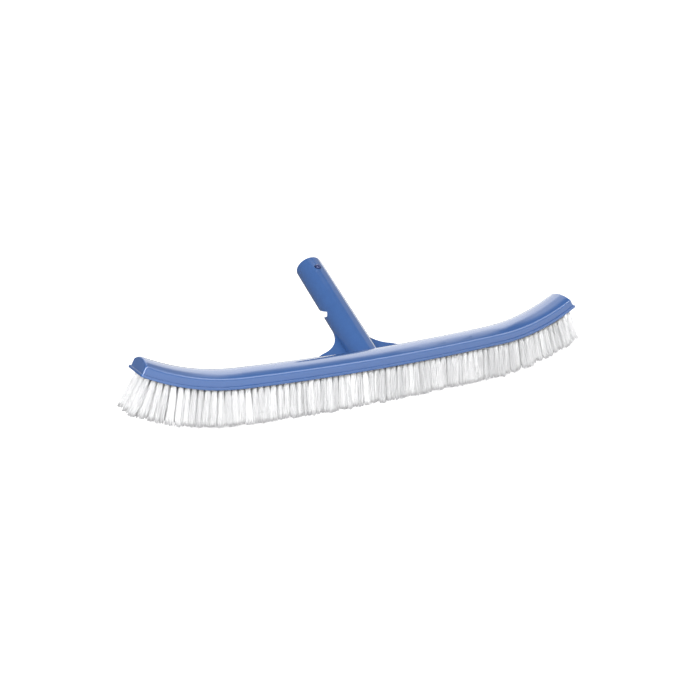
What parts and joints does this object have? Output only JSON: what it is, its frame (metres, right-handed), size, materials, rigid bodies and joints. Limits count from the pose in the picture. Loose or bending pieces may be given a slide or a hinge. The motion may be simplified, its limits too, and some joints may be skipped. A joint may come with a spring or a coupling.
{
  "type": "pool wall brush",
  "caption": "Curved pool wall brush: a domed plastic back with a leaning pole spigot, sprung lock buttons and rows of white bristle tufts.",
  "frame": {"origin": "middle of the brush's overall footprint, spigot included, on the plane that the middle bristle tips stand on", "axes": "+X along the brush, +Y towards the mouth of the pole spigot, +Z from the bristle tips up to the back"},
  "size_m": [0.4708, 0.1518, 0.1165],
  "materials": {
    "back_plastic": "glossy moulded blue polypropylene with faint flow marks",
    "bristle": "translucent white polymer filament, blunt cut tips",
    "clip_steel": "rolled stainless spring strip",
    "button_plastic": "dark navy moulded nylon",
    "anchor_wire": "flat drawn stainless wire"
  },
  "bodies": {
    "brush": {"back_moulding": "back_plastic", "clip_bow": "clip_steel", "tufts_row_1_left": "bristle", "tufts_row_1_right": "bristle", "tufts_row_2_left": "bristle", "tufts_row_2_right": "bristle", "tufts_row_3_left": "bristle", "tufts_row_3_right": "bristle", "tufts_row_4_left": "bristle", "tufts_row_4_right": "bristle", "tufts_row_5_left": "bristle", "tufts_row_5_right": "bristle", "tuft_anchors_row_1": "anchor_wire", "tuft_anchors_row_2": "anchor_wire", "tuft_anchors_row_3": "anchor_wire", "tuft_anchors_row_4": "anchor_wire", "tuft_anchors_row_5": "anchor_wire"},
    "upper_leg": {"clip_leg_upper": "clip_steel", "button_upper": "button_plastic"},
    "lower_leg": {"clip_leg_lower": "clip_steel", "button_lower": "button_plastic"}
  },
  "joints": [
    {"name": "upper_button_press", "type": "hinge", "parent": "brush", "child": "upper_leg", "pos_m": [0, 0.01895, 0.08041], "axis": [-1, 0, 0], "range_deg": [0, 2.6], "stiffness_Nm_per_rad": 8, "springref_deg": -2.86},
    {"name": "lower_button_press", "type": "hinge", "parent": "brush", "child": "lower_leg", "pos_m": [0, 0.02343, 0.07284], "axis": [1, 0, 0], "range_deg": [0, 2.6], "stiffness_Nm_per_rad": 8, "springref_deg": -2.86}
  ]
}
